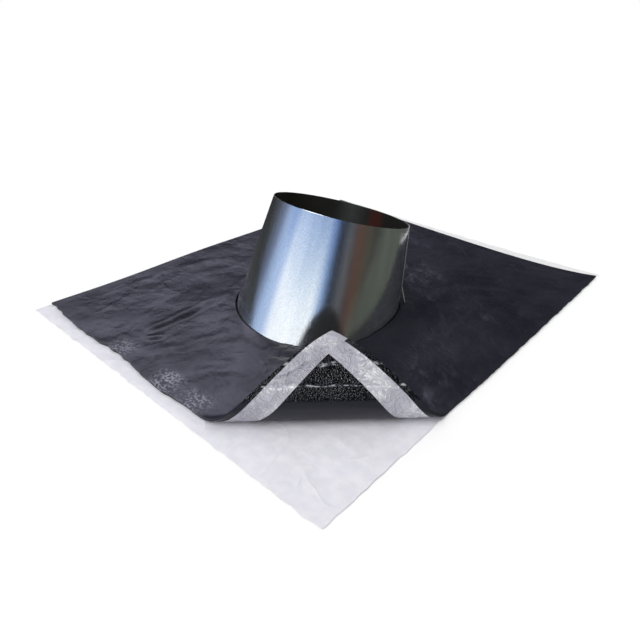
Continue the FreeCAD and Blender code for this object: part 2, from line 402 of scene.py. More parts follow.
def hues(table: tuple, start: float, end: float) -> list[tuple[float, tuple]]:
    """A ramp's stops, from rows of a place and its red, green and blue, with the ramp's start and end."""
    return [((at - start) / (end - start), tone(*hue)) for at, *hue in table]


class Effects:
    """Shader effects that several finishes share, each built once."""

    def __init__(self) -> None:
        """Build the groups."""
        self.mottle = self._build("mottle", {"Scale": 20.0, "Low": 0.4, "High": 0.6}, self._mottle)
        self.crease = self._build("crease", {"Scale": 20.0, "Width": 0.06}, self._crease)
        self.pits = self._build("pits", {"Scale": 600.0, "Depth": 0.5}, self._pits)
        # the shape of the painted highlight lines on the butyl and the tape
        self.line = self._build("line", {"Height": 0.039, "Width": 0.0008}, self._highlight_line)

    @staticmethod
    def _build(name: str, numbers: dict[str, float], fill: Callable) -> bpy.types.NodeTree:
        """Make a group with a Vector input, number inputs and one Value output.

        Args:
            name: The group's name.
            numbers: Its number inputs with their defaults.
            fill: Wires the inside, from the group's graph and inputs to the result.

        Returns:
            The group.
        """
        tree = bpy.data.node_groups.new(name, "ShaderNodeTree")
        tree.interface.new_socket("Vector", in_out="INPUT", socket_type="NodeSocketVector")
        for key, value in numbers.items():
            socket = tree.interface.new_socket(key, in_out="INPUT", socket_type="NodeSocketFloat")
            socket.default_value = value
        tree.interface.new_socket("Value", in_out="OUTPUT", socket_type="NodeSocketFloat")
        graph = Graph(tree)
        graph.add("NodeGroupOutput", {0: fill(graph, graph.add("NodeGroupInput").outputs)})
        return tree

    @staticmethod
    def _mottle(graph: Graph, given: Sockets) -> Socket:
        """Soft patches, 0 to 1."""
        patches = graph.noise(given["Vector"], given["Scale"], 3.0)
        return graph.stretch(patches, given["Low"], given["High"])

    @staticmethod
    def _crease(graph: Graph, given: Sockets) -> Socket:
        """Thin wandering ridges, 1 on the ridge and 0 off it."""
        off = graph.off(graph.noise(given["Vector"], given["Scale"], distortion=0.8), 0.5)
        return graph.calc("POWER", 2.718, graph.times(graph.calc("DIVIDE", off, given["Width"]), -1.0))

    @staticmethod
    def _highlight_line(graph: Graph, given: Sockets) -> Socket:
        """A broken level line at a height, where a highlight line is painted.

        Args:
            graph: The group's graph.
            given: The group's inputs.

        Returns:
            1 on the line and 0 off it.
        """
        waver = graph.calc("SUBTRACT", graph.noise(given["Vector"], 90.0), 0.5)
        up = graph.plus(graph.split(given["Vector"])[2], graph.times(waver, 0.004))
        off = graph.calc("DIVIDE", graph.off(up, given["Height"]), given["Width"])
        shown = graph.calc("SUBTRACT", 1.0, graph.calc("MINIMUM", off, 1.0))
        return graph.times(shown, graph.stretch(graph.noise(given["Vector"], 200.0), 0.42, 0.60, 0.05, 0.8))

    @staticmethod
    def _pits(graph: Graph, given: Sockets) -> Socket:
        """Small pits in a tacky or cast surface, as a height."""
        feeds = {"Vector": given["Vector"], "Scale": given["Scale"]}
        return graph.times(graph.add("ShaderNodeTexVoronoi", feeds).outputs["Distance"], given["Depth"])


class Finish(ABC):
    """A finish, which each kind of surface fills in with its name and its shader's feeds."""

    name: str

    @abstractmethod
    def feeds(self, graph: Graph, effects: Effects) -> dict:
        """What the Principled shader takes: for each input, a socket or a value."""

    def material(self, effects: Effects) -> Material:
        """Build the material.

        Args:
            effects: The shared shader effects.

        Returns:
            The material.
        """
        made, graph = new_material(self.name)
        shader = graph.add("ShaderNodeBsdfPrincipled", self.feeds(graph, effects))
        graph.add("ShaderNodeOutputMaterial", {"Surface": shader.outputs[0]})
        return made


@dataclass(frozen=True)
class Plain(Finish):
    """A finish of one even colour."""

    name: str
    colour: tuple
    roughness: float
    metallic: float = 0.0

    def feeds(self, graph: Graph, effects: Effects) -> dict:
        """The three plain values."""
        return {"Base Color": self.colour, "Roughness": self.roughness, "Metallic": self.metallic}


@dataclass(frozen=True)
class CollarFace(Finish):
    """A face of the collar, whose patterns follow the cone from the rim's middle, in metres."""

    rim_centre: Vector
    lean: float

    def parts(self, graph: Graph, place: Socket) -> Sockets:
        """The three parts of a place in the collar's own frame, with Z along its axis."""
        feeds = {"Vector": place, "Location": self.rim_centre, "Rotation": (-self.lean, 0.0, 0.0)}
        return graph.split(graph.add("ShaderNodeMapping", feeds, vector_type="TEXTURE").outputs[0])


@dataclass(frozen=True)
class ZincOutside(CollarFace):
    """Bare zinc-coated sheet, grained and faintly streaked down the cone."""

    name: str = "zinc_outside"
    light: tuple = tone(246, 248, 250)
    dull: tuple = tone(228, 232, 236)
    roughness: float = 0.13
    metallic: float = 0.97
    streak_scale: float = 5.5
    grain_scale: float = 180.0
    spangle_scale: float = 640.0

    def feeds(self, graph: Graph, effects: Effects) -> dict:
        """The sheet's streaks, grain and spangle.

        Args:
            graph: The material's graph.
            effects: The shared shader effects.

        Returns:
            The Principled shader's feeds.
        """
        place = graph.place()
        parts = self.parts(graph, place)
        around = graph.vector("NORMALIZE", graph.join(parts[0], parts[1]))

        def down_cone(draw: float) -> Socket:
            """Places round the cone, drawn out along it."""
            return graph.vector("ADD", around, graph.join(0.0, 0.0, graph.times(parts[2], draw)))

        streak = graph.shared(effects.mottle, down_cone(1.6), self.streak_scale, 0.3, 0.7)
        grain = graph.noise(down_cone(0.9), self.grain_scale, 3.0)
        spangle = graph.noise(place, self.spangle_scale)
        speck = graph.stretch(spangle, 0.36, 0.64, 0.91, 1.0)
        bare = graph.blend(streak, self.dull, self.light)
        height = graph.plus(graph.times(grain, 0.5), graph.times(spangle, 0.5))
        return {
            "Base Color": graph.blend(1.0, bare, speck, "MULTIPLY"),
            "Metallic": self.metallic,
            "Roughness": graph.stretch(grain, 0.3, 0.7, self.roughness - 0.04, self.roughness + 0.07),
            "Normal": graph.bump(height, 0.12, 0.0005),
        }


@dataclass(frozen=True)
class ZincInside(CollarFace):
    """The collar's inner face, dull and painted nearly black as shade inside the tube, with a painted pale
    reflection and a painted reddish-brown reflection at some bearings.
    """

    name: str = "zinc_inside"
    patch: tuple = tone(26, 26, 22)
    # painted shade and painted reflections by bearing in degrees: near black for the shade inside the tube,
    # a reddish-brown reflection near 90 and a pale reflection near 117
    painted_reflections: tuple = (
        (0, 40, 40, 34), (70, 36, 37, 32), (84, 40, 36, 30), (90, 74, 32, 22), (97, 74, 34, 24),
        (103, 46, 46, 42), (117, 74, 80, 78), (132, 50, 52, 48), (160, 50, 48, 42), (180, 40, 40, 34),
    )

    def feeds(self, graph: Graph, effects: Effects) -> dict:
        """The colours of the painted shade and painted reflections, by the angle from the collar's right
        side, and dull patches.

        Args:
            graph: The material's graph.
            effects: The shared shader effects.

        Returns:
            The Principled shader's feeds.
        """
        place = graph.place()
        parts = self.parts(graph, place)
        bearing = graph.calc("ABSOLUTE", graph.calc("ARCTAN2", parts[1], parts[0]))
        # the painted shade and painted reflections, picked by bearing
        around = graph.ramp(graph.calc("DIVIDE", bearing, math.pi), hues(self.painted_reflections, 0, 180))
        patches = graph.shared(effects.mottle, place, 30.0, 0.3, 0.7)
        colour = graph.blend(graph.times(patches, 0.35), around, self.patch)
        return {"Base Color": colour, "Metallic": 0.2, "Roughness": 0.5}


@dataclass(frozen=True)
class CarrierSkin(Finish):
    """Satin charcoal skin of the apron, with soft patches, fine creases and a few painted glints of light
    along the front edge.
    """

    name: str = "carrier_skin"
    dark: tuple = tone(27, 27, 35)
    light: tuple = tone(46, 45, 56)
    # painted highlights: pale glints of light on the tacky skin, in a strip along the front edge
    edge_glint_colour: tuple = tone(146, 146, 158)
    edge_glint_strip: tuple[float, float] = (-0.252, -0.266)
    edge_glint_draw: float = 2.2
    edge_glint_stops: tuple = (
        (-104.0, 0.0), (-80.0, 0.7), (-58.0, 0.0), (-24.0, 0.0),
        (-2.0, 1.0), (20.0, 0.1), (46.0, 0.7), (66.0, 0.0),
    )

    def feeds(self, graph: Graph, effects: Effects) -> dict:
        """The patches, painted glints, creases and pits.

        Args:
            graph: The material's graph.
            effects: The shared shader effects.

        Returns:
            The Principled shader's feeds.
        """
        place = graph.place()
        patches = graph.shared(effects.mottle, place, 9.0, 0.35, 0.7)
        clouds = graph.shared(effects.mottle, place, 24.0, 0.3, 0.75)
        colour = graph.blend(graph.times(patches, 0.6), self.dark, self.light)
        colour = graph.blend(graph.times(clouds, 0.25), colour, self.light)
        creases = graph.times(graph.shared(effects.crease, place, 9.0, 0.035), 0.35)
        pits = graph.shared(effects.pits, place, 900.0, 0.12)
        height = graph.plus(graph.plus(creases, pits), graph.times(clouds, 2.0))
        return {
            # the base colour carries the painted glints
            "Base Color": graph.blend(self._edge_glints(graph, effects, place), colour, self.edge_glint_colour),
            "Roughness": graph.stretch(clouds, 0.0, 1.0, 0.27, 0.40),
            "Normal": graph.bump(height, 0.6, 0.0012),
            "Specular IOR Level": 0.5,
        }

    def _edge_glints(self, graph: Graph, effects: Effects, place: Socket) -> Socket:
        """Where glints of light are painted on the strip along the front edge, 0 to 1.

        Args:
            graph: The material's graph.
            effects: The shared shader effects.
            place: The place on the object.

        Returns:
            The share of the painted glints' colour.
        """
        parts = graph.split(place)
        across = graph.plus(graph.times(parts[0], self.edge_glint_draw), 0.5)
        stops = [(x * MM * self.edge_glint_draw + 0.5, (shade, shade, shade, 1.0)) for x, shade in self.edge_glint_stops]
        where = graph.times(graph.stretch(parts[1], *self.edge_glint_strip), graph.ramp(across, stops))
        return graph.times(where, graph.shared(effects.mottle, place, 420.0, 0.44, 0.64))


@dataclass(frozen=True)
class ButylSkin(Finish):
    """Glossy black butyl, tacky and finely pitted, with painted glints and painted highlight lines where it
    is turned over, and painted dark grey below that as a painted reflection of the white film.
    """

    name: str = "butyl_skin"
    colour: tuple = tone(11, 11, 15)
    # painted reflection: the butyl is painted dark grey below a given height, as the white film reflected in
    # the low part of the roll
    film_reflection_colour: tuple = tone(36, 36, 45)
    # painted highlights: pale glints and highlight lines on the glossy butyl
    glint_colour: tuple = tone(196, 196, 206)
    film_reflection_top: tuple[float, float] = (0.0275, 0.0310)
    highlight_line_heights: tuple[float, ...] = (0.0392, 0.0505)
    highlight_line_width: float = 0.0009

    def feeds(self, graph: Graph, effects: Effects) -> dict:
        """The painted glints, painted highlight lines and pits above a given height, and the painted grey
        reflection of the film below it.

        Args:
            graph: The material's graph.
            effects: The shared shader effects.

        Returns:
            The Principled shader's feeds.
        """
        place = graph.place()
        # 0 in the low band painted with the film's reflection, 1 above it; the glints, pits and gloss follow
        # it
        above_film_reflection = graph.stretch(graph.split(place)[2], *self.film_reflection_top)
        # sparse specks where glints of light are painted
        glint_specks = graph.shared(effects.mottle, place, 1350.0, 0.61, 0.75)
        strewn = graph.shared(effects.mottle, place, 34.0, 0.38, 0.62)
        # pale holds the painted glints, and the painted highlight lines are added to it
        pale = graph.times(graph.times(glint_specks, strewn), above_film_reflection)
        # painted highlight lines along the roll's creases
        for height in self.highlight_line_heights:
            pale = graph.calc("MAXIMUM", pale, graph.shared(effects.line, place, height, self.highlight_line_width))
        skin = graph.blend(above_film_reflection, self.film_reflection_colour, self.colour)
        pits = graph.times(graph.shared(effects.pits, place, 620.0, 1.0), above_film_reflection)
        return {
            "Base Color": graph.blend(pale, skin, self.glint_colour),
            "Roughness": graph.stretch(above_film_reflection, 0.0, 1.0, 0.42, 0.12),
            "Normal": graph.bump(pits, 0.6, 0.0009),
            "Specular IOR Level": 0.4,
        }


@dataclass(frozen=True)
class TapeFilm(Finish):
    """Light grey film tape, satin and crinkled, with painted highlights on its crinkles and a painted
    highlight line.
    """

    name: str = "tape_film"
    colour: tuple = tone(168, 167, 178)
    pale: tuple = tone(198, 197, 207)
    # painted highlights: near-white light on the crinkles and along a line
    crinkle_highlight: tuple = tone(252, 252, 255)
    highlight_line_height: float = 0.0385
    highlight_line_width: float = 0.0012

    def feeds(self, graph: Graph, effects: Effects) -> dict:
        """The patches, the painted white highlights of drawn crinkles, and a painted highlight line.

        Args:
            graph: The material's graph.
            effects: The shared shader effects.

        Returns:
            The Principled shader's feeds.
        """
        place = graph.place()
        crinkle = graph.shared(effects.crease, place, 150.0, 0.035)
        patches = graph.shared(effects.mottle, place, 60.0, 0.35, 0.7)
        drawn = graph.shared(effects.mottle, place, 26.0, 0.50, 0.63)
        line = graph.shared(effects.line, place, self.highlight_line_height, self.highlight_line_width)
        film = graph.blend(graph.times(patches, 0.5), self.colour, self.pale)
        # where the painted highlights show
        white = graph.calc("MAXIMUM", graph.times(crinkle, drawn), line)
        return {
            "Base Color": graph.blend(white, film, self.crinkle_highlight),
            "Roughness": graph.stretch(patches, 0.0, 1.0, 0.18, 0.34),
            "Normal": graph.bump(graph.plus(crinkle, graph.times(patches, 0.6)), 0.7, 0.0012),
            "Specular IOR Level": 0.6,
        }


@dataclass(frozen=True)
class MilkyFilm(Finish):
    """Milky release film, softly creased and clearer towards the rear."""

    name: str = "milky_film"
    colour: tuple = tone(236, 235, 243)
    pale: tuple = tone(249, 248, 253)
    clear: tuple = tone(253, 253, 254)
    clearing: tuple[float, float] = (0.10, 0.24)
    alpha: float = 0.88

    def feeds(self, graph: Graph, effects: Effects) -> dict:
        """The patches and creases, and the clearing by the distance up the slope.

        Args:
            graph: The material's graph.
            effects: The shared shader effects.

        Returns:
            The Principled shader's feeds.
        """
        place = graph.place()
        creases = graph.shared(effects.crease, place, 11.0, 0.03)
        patches = graph.shared(effects.mottle, place, 16.0, 0.35, 0.7)
        fine = graph.shared(effects.mottle, place, 90.0, 0.35, 0.7)
        milky = graph.blend(graph.times(fine, 0.6), self.colour, self.pale)
        cleared = graph.stretch(graph.split(place)[1], *self.clearing)
        height = graph.plus(graph.times(creases, 0.7), graph.plus(patches, graph.times(fine, 0.3)))
        return {
            "Base Color": graph.blend(cleared, milky, self.clear),
            "Roughness": 0.38,
            "Normal": graph.bump(height, 0.3, 0.002),
            "Alpha": self.alpha,
        }


# the rim's cut edge, near white and less metallic than the wall: partly the bare cut edge and partly a
# painted highlight along the rim
CUT_EDGE_AND_RIM_HIGHLIGHT = Plain("cut_edge_and_rim_highlight", tone(236, 240, 246), 0.4, 0.6)
PALE_TAB = Plain("pale_tab", tone(176, 175, 163), 0.6)


# ---- collar -------------------------------------------------------------------------------


@dataclass
class Collar:
    """Leaning cone of thin zinc sheet with an out-turned foot and a lapped seam."""

    throat_radius: float = 80.5
    lean: float = math.radians(16.25)
    flare: float = math.radians(8.25)
    rim_shift: float = -16.0
    rim_height: float = 113.8
    metal: float = 0.5
    foot_width: float = 12.0
    foot_bottom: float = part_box("collar")[0].z / MM
    bend_radius: float = 2.2
    bend_steps: int = 4
    merge_distance: float = 0.4
    edge_round: float = 0.12
    sides: int = 192
    rings: int = 44
    seam_bearing: float = math.radians(38.0)
    seam_radius: float = 88.5
    lap_width: float = 14.0
    lap_lift: float = 0.55
    lap_foot: float = 3.0
    lap_reach: float = 1.3
    tab_narrowing: float = 4.0
    tab_bending: float = 1.25
    tab_width: float = 9.0
    tab_length: float = 22.0
    tab_spring: float = 6.4
    tab_foot: float = 7.0
    tab_slot: int = 3

    def rim_centre(self) -> Vector:
        """Middle of the rim, in millimetres."""
        return Vector((0.0, self.rim_shift, self.rim_height))

    def radius(self, drop: float) -> float:
        """Inner radius at a distance below the rim along the axis."""
        return self.throat_radius + drop * math.tan(self.flare)

    def section(self, height: float | Places, growth: float) -> Ellipse:
        """The ellipse in which a level plane cuts the cone.

        Args:
            height: Height of the plane.
            growth: How far the cone is grown outwards from its inner wall.

        Returns:
            The ellipse.
        """
        reach = self.throat_radius + growth / math.cos(self.flare)
        toe_drop = self.rim_height + reach * math.sin(self.lean) - height
        heel_drop = self.rim_height - reach * math.sin(self.lean) - height
        toe = self.rim_shift - reach * math.cos(self.lean) - toe_drop * math.tan(self.lean + self.flare)
        heel = self.rim_shift + reach * math.cos(self.lean) - heel_drop * math.tan(self.lean - self.flare)
        radii = []
        for y in (toe, heel):
            down = (self.rim_height - height) * math.cos(self.lean)
            down = down + (self.rim_shift - y) * math.sin(self.lean)
            radii.append(reach + down * math.tan(self.flare))
        return Ellipse((toe + heel) / 2, np.sqrt(radii[0] * radii[1]), (heel - toe) / 2)

    def build(self, effects: Effects) -> Piece:
        """Model the collar and dress it.

        Args:
            effects: The shared shader effects.

        Returns:
            The finished piece.
        """
        shell = self._cone()
        self._turn_out_foot(shell)
        self._lap_seam(shell)
        cone = (self.rim_centre() * MM, self.lean)
        finishes = (ZincOutside(*cone), ZincInside(*cone), CUT_EDGE_AND_RIM_HIGHLIGHT, PALE_TAB)
        for finish in finishes:
            shell.data.materials.append(finish.material(effects))
        apply_modifier(
            shell, "SOLIDIFY", thickness=self.metal * MM, offset=1.0,
            material_offset=1, material_offset_rim=2,
        )
        apply_modifier(
            shell, "BEVEL", width=self.edge_round * MM, segments=2,
            limit_method="ANGLE", angle_limit=math.radians(60),
        )
        hand_over(shell, Slot.SHEET_METAL, "collar")
        return shell

    def _cone(self) -> Piece:
        """Model the cone's wall from the rim to below the foot, with level rings of edges.

        Returns:
            The wall.
        """
        length = (self.rim_height + self.throat_radius) / math.cos(self.lean)
        bpy.ops.mesh.primitive_cone_add(
            vertices=self.sides, radius1=self.radius(length) * MM, radius2=self.throat_radius * MM,
            depth=length * MM, end_fill_type="NOTHING", location=(0.0, 0.0, -length * MM / 2),
        )
        shell = bpy.context.active_object
        shell.name = "collar_shell"
        bpy.ops.object.transform_apply(location=True, rotation=True, scale=True)
        ends = corners(shell)
        with editing(shell):
            pick_edges(shell, lambda first, last: abs(ends[first, 2] - ends[last, 2]) > 1.0)
            bpy.ops.mesh.subdivide(number_cuts=self.rings)
            bpy.ops.mesh.select_all(action="SELECT")
            cut_level(-self.metal, clear=False)
        shell.rotation_euler = (-self.lean, 0.0, 0.0)
        shell.location = self.rim_centre() * MM
        bpy.ops.object.transform_apply(location=True, rotation=True, scale=True)
        return shell

    def _turn_out_foot(self, shell: Piece) -> None:
        """Cut the wall level with the roof and turn its foot outwards, with a bend between.

        Args:
            shell: The cone's wall.
        """
        with editing(shell):
            bpy.ops.mesh.select_all(action="SELECT")
            cut_level(self.foot_bottom)
            bpy.ops.mesh.select_all(action="SELECT")
            bpy.ops.mesh.remove_doubles(threshold=self.merge_distance * MM)
        places = corners(shell)
        low = {index for index in border_of(shell) if places[index, 2] < self.foot_bottom + self.metal}
        wall = self.section(self.foot_bottom, 0.0)
        widening = (1 + self.foot_width / wall.half_x, 1 + self.foot_width / wall.half_y, 1.0)
        middle = (0.0, wall.middle * MM, self.foot_bottom * MM)
        with editing(shell):
            pick_edges(shell, lambda first, last: first in low and last in low)
            bpy.ops.mesh.extrude_edges_move()
            bpy.ops.transform.resize(value=widening, center_override=middle)
            pick_edges(shell, lambda first, last: first in low and last in low)
            bpy.ops.mesh.bevel(offset=self.bend_radius * MM, segments=self.bend_steps, affect="EDGES")

    def _lap_seam(self, shell: Piece) -> None:
        """Lay the seam's outer lap over the wall and spring its lower end outwards.

        Args:
            shell: The collar's mesh.
        """
        turn = Euler((-self.lean, 0.0, 0.0)).to_matrix().to_4x4()
        to_collar = Matrix.Translation(self.rim_centre() * MM) @ turn
        from_collar = to_collar.inverted()
        with editing(shell, "FACE"):
            pick_faces(shell, lambda middle: self._in_lap(middle, from_collar, 1.0))
            bpy.ops.mesh.duplicate()
            bpy.ops.transform.shrink_fatten(value=self.lap_lift * MM)
            cut_level(self.tab_foot)
        strip = self._lap_points(shell, from_collar)
        tab_top = self.tab_foot + self.tab_length
        for index in strip:
            point = shell.data.vertices[index]
            share = (tab_top - point.co.z / MM) / self.tab_length
            if share > 0:
                point.co = to_collar @ self._sprung(from_collar @ point.co, share)
        for face in shell.data.polygons:
            if face.center.z < tab_top * MM and strip.issuperset(face.vertices):
                face.material_index = self.tab_slot
        shell.data.update()

    def _in_lap(self, place: Vector, from_collar: Matrix, widening: float) -> bool:
        """Whether a place lies within the lap's width, times a widening, and above the foot.

        Args:
            place: The place, in metres.
            from_collar: Carries a place into the collar's own frame.
            widening: How many times the lap's width counts.

        Returns:
            True within the lap.
        """
        local = from_collar @ place
        half_arc = self.lap_width / 2 / self.seam_radius
        near = abs(math.atan2(local.y, local.x) - self.seam_bearing) < half_arc * widening
        return near and place.z > (self.foot_bottom + self.lap_foot) * MM

    def _lap_points(self, shell: Piece, from_collar: Matrix) -> set[int]:
        """The corners of the lap's strip, which stand proud of the wall.

        Args:
            shell: The collar's mesh.
            from_collar: Carries a place into the collar's own frame.

        Returns:
            Their indices.
        """
        found = set()
        for point in shell.data.vertices:
            local = from_collar @ point.co
            proud = math.hypot(local.x, local.y) - self.radius(-local.z / MM) * MM
            if proud > self.metal * MM / 2 and self._in_lap(point.co, from_collar, self.lap_reach):
                found.add(point.index)
        return found

    def _sprung(self, local: Vector, share: float) -> Vector:
        """A place on the tab, narrowed and sprung away from the wall.

        Args:
            local: The place in the collar's own frame, in metres.
            share: How far down the tab it lies, 0 to 1.

        Returns:
            Where it goes, in the same frame.
        """
        narrow = 1 - (1 - self.tab_width / self.lap_width) * min(share * self.tab_narrowing, 1.0)
        bearing = math.atan2(local.y, local.x)
        turned = self.seam_bearing + (bearing - self.seam_bearing) * narrow
        sprung = self.tab_spring * MM * min(share * self.tab_bending, 1.0)
        away = math.hypot(local.x, local.y) + sprung
        return Vector((away * math.cos(turned), away * math.sin(turned), local.z))


# ---- the soft sheet -----------------------------------------------------------------------


@dataclass(frozen=True)
class Swell:
    """A soft hump of the sheet: its middle, half-widths and height."""

    x: float
    y: float
    half_x: float
    half_y: float
    height: float

    def rise(self, x: Places, y: Places) -> Places:
        """Its height at each place."""
        away = ((x - self.x) / self.half_x) ** 2 + ((y - self.y) / self.half_y) ** 2
        return self.height * np.exp(-away)


@dataclass(frozen=True)
class Fold:
    """A small fold in the sheet from one place to another: a ridge with a dip beside it."""

    start: tuple[float, float]
    end: tuple[float, float]
    width: float
    height: float

    def rise(self, x: Places, y: Places) -> Places:
        """Its height at each place.

        Args:
            x: Places across the flat sheet.
            y: Places along it.

        Returns:
            The heights.
        """
        run_x, run_y = self.end[0] - self.start[0], self.end[1] - self.start[1]
        length = math.hypot(run_x, run_y)
        along = ((x - self.start[0]) * run_x + (y - self.start[1]) * run_y) / length ** 2
        side = ((x - self.start[0]) * run_y - (y - self.start[1]) * run_x) / length / self.width
        taper = ease(1.5 - np.abs(along - 0.5) * 2.4)
        return self.height * taper * (np.exp(-side ** 2) - 0.6 * np.exp(-(side - 1.7) ** 2))


@dataclass(frozen=True)
class RollCrease:
    """A sharp wrinkle of the rolled corner, which runs along the lift-off line or slants from it."""

    run: float
    start: float
    end: float
    height: float
    slant: float = 0.0
    width: float = 1.25

    def rise(self, run: Places, along: Places) -> Places:
        """Its height at each place.

        Args:
            run: How far the places lie past the lift-off line.
            along: How far they lie along it.

        Returns:
            The heights.
        """
        middle, half = (self.start + self.end) / 2, (self.end - self.start) / 2
        wander = self.slant * (along - middle) + 0.8 * np.sin(along / 4.1) + 0.5 * np.sin(along / 1.9)
        taper = ease(np.abs(along - middle) / half, 1.15, 0.85)
        return self.height * taper * np.exp(-((run - self.run - wander) / self.width) ** 2)


@dataclass
class SheetForm:
    """The form that the carrier, its butyl and its tapes share: swells, folds and a rolled corner."""

    collar: Collar
    half_width: float = (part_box("apron")[1].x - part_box("apron")[0].x) / MM / 2
    half_length: float = (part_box("apron")[1].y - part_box("apron")[0].y) / MM / 2
    bond_height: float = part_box("apron")[0].z / MM
    roll_bearing: float = math.radians(-44.0)
    roll_reach: float = 117.0
    tight_radius: float = 18.0
    tight_angle: float = math.radians(133.6)
    slack_radius: float = 80.0
    roll_skew: float = 0.10
    tip_bluntness: float = 2.0
    swell_strip: tuple[float, float] = (75.0, 150.0)
    hole_clearance: float = 1.2
    ring_strip: tuple[float, float] = (18.0, 12.0)
    ring_height: float = 1.3
    rear_bow: float = 29.0
    swells: tuple[Swell, ...] = (
        Swell(100.0, -28.0, 46.0, 62.0, 8.0),
        Swell(-104.0, -162.0, 62.0, 50.0, 4.5),
        Swell(-24.0, -188.0, 52.0, 36.0, 4.5),
        Swell(-136.0, 40.0, 50.0, 88.0, 4.0),
        Swell(50.0, 158.0, 84.0, 52.0, 4.0),
        Swell(142.0, 72.0, 44.0, 74.0, 3.5),
    )
    folds: tuple[Fold, ...] = (
        Fold((-92.0, -236.0), (-91.0, -170.0), 5.5, 1.7),
        Fold((-93.0, -200.0), (-88.0, -104.0), 7.0, 1.0),
        Fold((-80.0, -246.0), (-68.0, -226.0), 4.0, 1.1),
        Fold((-46.0, -222.0), (-8.0, -168.0), 9.0, 1.2),
        Fold((-4.0, -240.0), (24.0, -204.0), 7.0, 1.0),
        Fold((-56.0, -252.0), (-30.0, -216.0), 6.0, 0.9),
        Fold((-196.0, -120.0), (-178.0, -56.0), 10.0, 1.2),
        Fold((-150.0, -30.0), (-120.0, 40.0), 12.0, 1.0),
        Fold((-196.0, 60.0), (-160.0, 120.0), 9.0, 1.0),
        Fold((104.0, 100.0), (152.0, 150.0), 8.0, 1.2),
        Fold((120.0, -10.0), (176.0, 26.0), 9.0, 1.1),
        Fold((126.0, 60.0), (186.0, 84.0), 8.0, 1.0),
    )
    creases: tuple[RollCrease, ...] = (
        RollCrease(52.5, -30.0, 48.0, 1.4, -0.03),
        RollCrease(54.5, -66.0, -36.0, 1.2, 0.05),
        RollCrease(70.0, -10.0, 10.0, 1.4),
        RollCrease(66.0, 20.0, 42.0, 1.2, 0.10),
        RollCrease(72.0, -34.0, -10.0, 1.1, 0.45),
        RollCrease(66.0, -44.0, -22.0, 1.1, 0.60),
        RollCrease(80.0, 16.0, 30.0, 1.0, -0.80),
        RollCrease(61.0, -50.0, -34.0, 1.0, 0.50),
    )
    fold_strip: tuple[float, float] = (6.0, 36.0)
    wrinkles: tuple[Ripples, ...] = (Ripples(0.9, 42.0, 3.1), Ripples(0.35, 17.0, 8.7))
    wrinkle_level: float = 0.5
    wrinkle_share: float = 0.7
    imprint: float = 0.45
    imprint_strip: tuple[float, float] = (24.0, 29.0)
    imprint_fade: float = 25.0
    bow_start: float = 40.0
    bow_run: float = 60.0
    front_start: float = 180.0
    front_wave: Wave = Wave(2.3, 23.0, -40.0)
    front_ripples: Ripples = Ripples(1.8, 12.0, 1.9)
    front_level: float = 1.0
    side_start: float = 150.0
    side_bulge: float = 1.4
    left_wave: Wave = Wave(1.5, 41.0)
    left_level: float = 1.2
    right_ripples: Ripples = Ripples(1.0, 9.0, 2.7)
    right_strip: tuple[float, float] = (9.0, 1.0)
    wave_fade: float = 40.0

    def __post_init__(self) -> None:
        """Work out the roll's directions and the places that follow from its sizes."""
        self.ahead = np.array([math.cos(self.roll_bearing), math.sin(self.roll_bearing)])
        self.beside = np.array([-self.ahead[1], self.ahead[0]])
        self.lift_off = np.array([self.half_width, -self.half_length]) - self.ahead * self.roll_reach
        self.tight_length = self.tight_radius * self.tight_angle

    def rolled(self, x: Places, y: Places) -> Places:
        """How far each place lies past the lift-off line."""
        return (x - self.lift_off[0]) * self.ahead[0] + (y - self.lift_off[1]) * self.ahead[1]

    def hole(self, height: float | Places) -> Ellipse:
        """The ellipse of the apron's hole at a height."""
        return self.collar.section(height, self.collar.metal + self.hole_clearance)

    def from_hole(self, x: Places, y: Places) -> Places:
        """About how far each place lies out from the hole's edge."""
        hole = self.hole(self.bond_height)
        return (hole.share(x, y) - 1) * math.sqrt(hole.half_x * hole.half_y)

    def rise(self, x: Places, y: Places) -> Places:
        """Height of the sheet off its level, before the lift-off line.

        Args:
            x: Places across the flat sheet.
            y: Places along it.

        Returns:
            The height at each place.
        """
        edge = np.minimum(self.half_width - np.abs(x), self.half_length - np.abs(y))
        ahead = -self.rolled(x, y)
        room = np.minimum(edge, ahead)
        swelled = ease(room, *self.swell_strip) * sum(swell.rise(x, y) for swell in self.swells)
        near = ease(room, *self.fold_strip)
        folded = near * sum(fold.rise(x, y) for fold in self.folds)
        tape = (1 - ease(edge, *self.imprint_strip)) * ease(ahead, 0.0, self.imprint_fade)
        small = sum(ripples.rise(x, y) for ripples in self.wrinkles) + self.imprint * tape
        small = self.wrinkle_share * near * np.maximum(small + self.wrinkle_level, 0.0)
        ring = ease(self.from_hole(x, y), *self.ring_strip)
        return swelled + folded + small + self.ring_height * ring

    def warp(self, x: Places, y: Places) -> tuple[Places, Places]:
        """Shift places in the plane as the loose sheet's wavy edges do.

        Args:
            x: Places across the flat sheet.
            y: Places along it.

        Returns:
            The shifted places.
        """
        width, length = self.half_width, self.half_length
        flat = ease(-self.rolled(x, y), 0.0, self.wave_fade)
        bow = self.rear_bow * (1 - np.exp((x - width) / self.bow_run))
        wave = self.front_wave.rise(x) + self.front_ripples.rise(x, y) + self.front_level
        bulge = self.side_bulge * (1 - (y / length) ** 2)
        left = self.left_wave.rise(y) + self.left_level + bulge
        right = bulge + self.right_ripples.rise(y, x) * ease(width - np.abs(x), *self.right_strip)
        x_shift = ease(-x, self.side_start, width) * left + ease(x, self.side_start, width) * flat * right
        y_shift = ease(y, self.bow_start, length) * bow + ease(-y, self.front_start, length) * flat * wave
        return x + x_shift, y - y_shift

